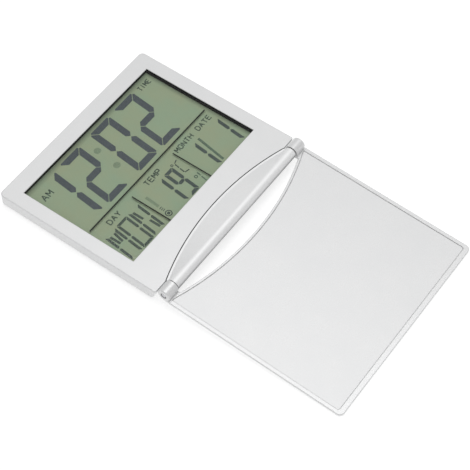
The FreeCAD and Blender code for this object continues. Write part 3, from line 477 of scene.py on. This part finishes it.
def digit_segments(style):
    """The seven segments a to g and the four inner diagonals, upright, with mitred ends."""
    width, height, line, gap, corner = style
    half = height / 2
    cut = corner / 2
    top = [(corner, height), (width - corner, height), (width - cut - gap, height - cut),
           (width - line - gap, height - line), (line + gap, height - line), (cut + gap, height - cut)]
    upper_right = [(width, height - corner), (width - cut, height - cut - gap),
                   (width - line, height - line - gap), (width - line, half + line / 2 + gap),
                   (width - line / 2, half + gap), (width, half + line / 2 + gap)]
    middle = [(line / 2 + gap, half), (line + gap, half + line / 2), (width - line - gap, half + line / 2),
              (width - line / 2 - gap, half), (width - line - gap, half - line / 2),
              (line + gap, half - line / 2)]
    inset = line * DIAGONAL_INSET
    thick = line * DIAGONAL_WIDTH
    slant = [(inset, height - inset), (inset + thick, height - inset),
             (width / 2 - gap, half + line), (width / 2 - gap - thick, half + line)]

    def across(points):
        return [(width - x, y) for x, y in points]

    def down(points):
        return [(x, height - y) for x, y in points]

    return {
        "a": top, "b": upper_right, "c": down(upper_right), "d": down(top),
        "e": down(across(upper_right)), "f": across(upper_right), "g": middle,
        "h": slant, "j": across(slant), "k": down(slant), "m": down(across(slant)),
    }


# Sideways lean of the digits for each millimetre of height.
SHEAR = 0.09

# The segments that each character lights.
LIT = {"0": "abcdef", "1": "bc", "2": "abged", "9": "abcdfg", "M": "bcefhj", "O": "abcdef", "N": "bcefhm"}


def digit(character, centre_x, middle_y, style):
    """The lit segments of one character, leaning about its middle."""
    shapes = digit_segments(style)
    placed = []
    for segment in LIT[character]:
        placed.append([(centre_x - style.width / 2 + x + SHEAR * (y - style.height / 2),
                        middle_y - style.height / 2 + y) for x, y in shapes[segment]])
    return placed


def digit_row(characters, centres, middle_y, style):
    """Characters of one style side by side, one at each centre."""
    placed = []
    for character, centre_x in zip(characters, centres):
        placed += digit(character, centre_x, middle_y, style)
    return placed


# Strokes of the small capitals, on a box one wide and one high.
LETTERS = {
    "A": ((0, 0, 0.5, 1), (0.5, 1, 1, 0), (0.22, 0.38, 0.78, 0.38)),
    "M": ((0, 0, 0, 1), (0, 1, 0.5, 0.35), (0.5, 0.35, 1, 1), (1, 1, 1, 0)),
    "T": ((0, 1, 1, 1), (0.5, 1, 0.5, 0)),
    "I": ((0.5, 0, 0.5, 1),),
    "E": ((0, 0, 0, 1), (0, 1, 1, 1), (0, 0.52, 0.85, 0.52), (0, 0, 1, 0)),
    "D": ((0, 0, 0, 1), (0, 1, 0.65, 1), (0.65, 1, 1, 0.72), (1, 0.72, 1, 0.28), (1, 0.28, 0.65, 0),
          (0.65, 0, 0, 0)),
    "Y": ((0, 1, 0.5, 0.5), (1, 1, 0.5, 0.5), (0.5, 0.5, 0.5, 0)),
    "P": ((0, 0, 0, 1), (0, 1, 1, 1), (1, 1, 1, 0.48), (1, 0.48, 0, 0.48)),
    "O": ((0.2, 0, 0, 0.25), (0, 0.25, 0, 0.75), (0, 0.75, 0.2, 1), (0.2, 1, 0.8, 1), (0.8, 1, 1, 0.75),
          (1, 0.75, 1, 0.25), (1, 0.25, 0.8, 0), (0.8, 0, 0.2, 0)),
    "N": ((0, 0, 0, 1), (0, 1, 1, 0), (1, 0, 1, 1)),
    "H": ((0, 0, 0, 1), (1, 0, 1, 1), (0, 0.52, 1, 0.52)),
}


# A letter's width as a share of the room that it has.
LETTER_SHARE = 0.7


def word(text, x_low, x_high, y_low, height, line):
    """Small capitals spread evenly between two ends."""
    pitch = (x_high - x_low) / len(text)
    wide = pitch * LETTER_SHARE
    strokes = []
    for number, letter in enumerate(text):
        left = x_low + pitch * number + (pitch - wide) / 2
        for x1, y1, x2, y2 in LETTERS[letter]:
            strokes.append(stroke(left + x1 * wide, y_low + y1 * height,
                                  left + x2 * wide, y_low + y2 * height, line))
    return strokes


# ---- what the display shows, in the display's millimetres ----
TIME_STYLE = DigitStyle(width=10.9, height=24.5, line=2.6, gap=0.16, corner=1.0)
TIME_MIDDLE = 34.4
TIME_FIRST_X = 7.45
TIME_PITCH = 13.65
COLON_ROOM = 3.15
COLON_LIFT = 0.75
COLON_HALF = 4.75
COLON_RADIUS = 1.35

SMALL_MIDDLE = 7.65
NUMBER_STYLE = DigitStyle(width=4.9, height=13.3, line=1.35, gap=0.12, corner=0.4)
NARROW_STYLE = NUMBER_STYLE._replace(width=4.6)
WEEKDAY_STYLE = DigitStyle(width=5.5, height=13.3, line=1.05, gap=0.12, corner=0.35)
TEMPERATURE_TENS_X = 30.7
TEMPERATURE_ONES_X = 36.75
MONTH_X = 50.1
DAY_X = 63.6
WEEKDAY_FIRST_X = 4.35
WEEKDAY_PITCH = 6.25


def time_digits():
    hours = [TIME_FIRST_X + TIME_PITCH * number for number in (0, 1)]
    minutes = [TIME_FIRST_X + TIME_PITCH * number + COLON_ROOM for number in (2, 3)]
    return digit_row("1202", hours + minutes, TIME_MIDDLE, TIME_STYLE)


def colon_dots():
    """Two dots, one above the other, halfway between hours and minutes."""
    x = TIME_FIRST_X + 1.5 * TIME_PITCH + COLON_ROOM / 2
    y = TIME_MIDDLE + COLON_LIFT
    return [round_spot(x + side * SHEAR * COLON_HALF, y + side * COLON_HALF, COLON_RADIUS)
            for side in (-1, 1)]


def temperature_digits():
    tens = digit("1", TEMPERATURE_TENS_X, SMALL_MIDDLE, NUMBER_STYLE)
    return tens + digit("9", TEMPERATURE_ONES_X, SMALL_MIDDLE, NARROW_STYLE)


def date_digits():
    return digit_row("11", (MONTH_X, DAY_X), SMALL_MIDDLE, NUMBER_STYLE)


def weekday_letters():
    centres = [WEEKDAY_FIRST_X + WEEKDAY_PITCH * number for number in range(3)]
    return digit_row("MON", centres, SMALL_MIDDLE, WEEKDAY_STYLE)


# Small marks. A stroke is its two ends and its width, and a ring is its centre, its inner and outer radius
# and its number of sides.
DATE_SLASH = (53.25, 1.7, 55.3, 14.4, 1.0)
DEGREE_RING = (40.2, 14.6, 0.25, 0.55, 16)
DEGREE_STROKES = (
    (41.5, 14.4, 43.2, 14.9, 0.42),
    (41.3, 14.0, 41.0, 12.0, 0.5),
    (40.95, 11.6, 40.65, 9.5, 0.5),
    (40.7, 9.2, 42.6, 8.7, 0.42),
)
UNLIT_RING = (41.4, 4.9, 0.3, 0.75, 20)
UNLIT_STROKES = ((43.1, 5.7, 42.8, 3.9, 0.5), (42.7, 3.4, 42.3, 0.9, 0.5))

BULB_X = 23.45
BULB_Y = 3.15
BULB_CORE = 0.62
BULB_RING = (BULB_X, BULB_Y, 0.95, 1.35, 24)
LEVEL_COUNT = 3
LEVEL_LEFT = 22.9
LEVEL_RIGHT = 24.1
LEVEL_LOW = 5.2
LEVEL_PITCH = 0.75
LEVEL_RISE = 0.1
LEVEL_LINE = 0.3
THERMOMETER_TUBE = (23.6, 7.6, 24.0, 13.6, 1.1)


def ring_with_strokes(ring, strokes):
    return round_band(*ring) + [stroke(*ends) for ends in strokes]


def thermometer_mark():
    """Bulb and level marks of the thermometer left of the temperature."""
    levels = []
    for number in range(LEVEL_COUNT):
        y = LEVEL_LOW + LEVEL_PITCH * number
        levels.append(stroke(LEVEL_LEFT, y, LEVEL_RIGHT, y + LEVEL_RISE, LEVEL_LINE))
    return round_band(*BULB_RING) + [round_spot(BULB_X, BULB_Y, BULB_CORE)] + levels


# The small words: text, left end, right end, foot, height and stroke width.
WORDS = (
    ("AM", 2.0, 7.2, 40.5, 2.5, 0.5),
    ("TIME", 60.2, 66.5, 44.1, 2.0, 0.42),
    ("DAY", 7.5, 14.1, 16.1, 2.05, 0.48),
    ("TEMP", 28.0, 36.3, 15.9, 2.1, 0.48),
    ("MONTH", 45.8, 55.5, 16.25, 1.95, 0.45),
    ("DATE", 57.9, 66.1, 16.25, 1.95, 0.45),
)


def small_words():
    placed = []
    for entry in WORDS:
        placed += word(*entry)
    return placed


# The lines printed on the window: one across it, and two that part the lower fields.
CROSS_LINE_ENDS = (1.2, 66.7)
CROSS_LINE_SIDES = (19.72, 20.22)
UPRIGHT_LINES_X = (20.85, 44.1)
UPRIGHT_LINE_WIDTH = 0.46
UPRIGHT_LINE_ENDS = (0.05, 17.3)


def lens_lines():
    uprights = [bar(x, x + UPRIGHT_LINE_WIDTH, *UPRIGHT_LINE_ENDS) for x in UPRIGHT_LINES_X]
    return [bar(*CROSS_LINE_ENDS, *CROSS_LINE_SIDES)] + uprights


dark = crystal("crystal_dark", srgb(84, 90, 96), cover=0.93)
medium = crystal("crystal_medium", srgb(84, 94, 92), cover=0.80)
light = crystal("crystal_light", srgb(92, 104, 98), cover=0.58)
pale = crystal("crystal_pale", srgb(96, 112, 102), cover=0.42)
faint = crystal("crystal_faint", srgb(108, 132, 118), cover=0.36)
unlit = crystal("crystal_unlit", srgb(112, 142, 124), cover=0.10)
ink = plain_plastic("lens_ink", srgb(6, 8, 5), roughness=0.8, grain=0.2)

for piece_name, shapes, material in (
    ("time_digits", time_digits(), dark),
    ("colon_dots", colon_dots(), unlit),
    ("temperature_digits", temperature_digits(), medium),
    ("date_digits", date_digits(), medium),
    ("weekday_letters", weekday_letters(), light),
    ("date_slash", [stroke(*DATE_SLASH)], faint),
    ("degree_mark", ring_with_strokes(DEGREE_RING, DEGREE_STROKES), light),
    ("unlit_mark", ring_with_strokes(UNLIT_RING, UNLIT_STROKES), faint),
    ("thermometer_mark", thermometer_mark(), light),
    ("thermometer_tube", [stroke(*THERMOMETER_TUBE)], unlit),
    ("small_words", small_words(), pale),
):
    flat_piece(piece_name, shapes, CRYSTAL_Z, CRYSTAL_THICKNESS, material)
flat_piece("lens_lines", lens_lines(), PRINT_Z, INK_THICKNESS, ink)


# ---- floor, light and camera, in metres and watts where nothing else is said ----
FLOOR_REACH = 3.0
FLOOR_GAP = 0.05 * MM
SKY_STRENGTH = 0.47
LAMP_PLACE = (0.09, 0.03, 0.75)
LAMP_TARGET = (0.0, 0.0, 0.0)
LAMP_SIZE = 0.6
LAMP_POWER = 2.95

# The camera was fitted to the photo. Its roll is in degrees, its sensor and lens are in millimetres, its
# shift is in widths of the picture, and its near limit is in metres.
CAMERA_PLACE = Vector((-235.64, -174.67, 428.96)) * MM
CAMERA_TARGET = Vector((-5.29, -10.29, 6.0)) * MM
CAMERA_ROLL = 0.352
CAMERA_SENSOR = 36.0
CAMERA_LENS = 115.14
CAMERA_SHIFT_X = -0.0298
CAMERA_SHIFT_Y = 0.0140
CAMERA_NEAR_LIMIT = 0.01


def make_floor():
    mesh = bmesh.new()
    bmesh.ops.create_grid(mesh, x_segments=8, y_segments=8, size=FLOOR_REACH)
    data = bpy.data.meshes.new("floor")
    mesh.to_mesh(data)
    mesh.free()
    data.materials.append(table_top())
    floor = bpy.data.objects.new("floor", data)
    floor.location.z = cad_low.z - FLOOR_GAP
    bpy.context.scene.collection.objects.link(floor)


def make_sky():
    world = bpy.data.worlds.new("studio")
    bpy.context.scene.world = world
    world.use_nodes = True
    background = world.node_tree.nodes["Background"]
    background.inputs["Color"].default_value = WHITE
    background.inputs["Strength"].default_value = SKY_STRENGTH


def aimed(place, target):
    """The turn that points a lamp or a camera at the target."""
    return (Vector(target) - Vector(place)).to_track_quat("-Z", "Y")


def make_lamp():
    """One soft lamp overhead."""
    data = bpy.data.lights.new("overhead", "AREA")
    data.shape = "SQUARE"
    data.size = LAMP_SIZE
    data.energy = LAMP_POWER
    lamp = bpy.data.objects.new("overhead", data)
    lamp.location = LAMP_PLACE
    lamp.rotation_euler = aimed(LAMP_PLACE, LAMP_TARGET).to_euler()
    bpy.context.scene.collection.objects.link(lamp)


def make_camera():
    data = bpy.data.cameras.new("camera")
    data.sensor_width = CAMERA_SENSOR
    data.lens = CAMERA_LENS
    data.shift_x = CAMERA_SHIFT_X
    data.shift_y = CAMERA_SHIFT_Y
    data.clip_start = CAMERA_NEAR_LIMIT
    camera = bpy.data.objects.new("camera", data)
    roll = Quaternion((0.0, 0.0, 1.0), math.radians(CAMERA_ROLL))
    camera.location = CAMERA_PLACE
    camera.rotation_mode = "QUATERNION"
    camera.rotation_quaternion = aimed(CAMERA_PLACE, CAMERA_TARGET) @ roll
    bpy.context.scene.collection.objects.link(camera)
    bpy.context.scene.camera = camera


make_floor()
make_sky()
make_lamp()
make_camera()
bpy.context.scene.view_settings.view_transform = "Standard"
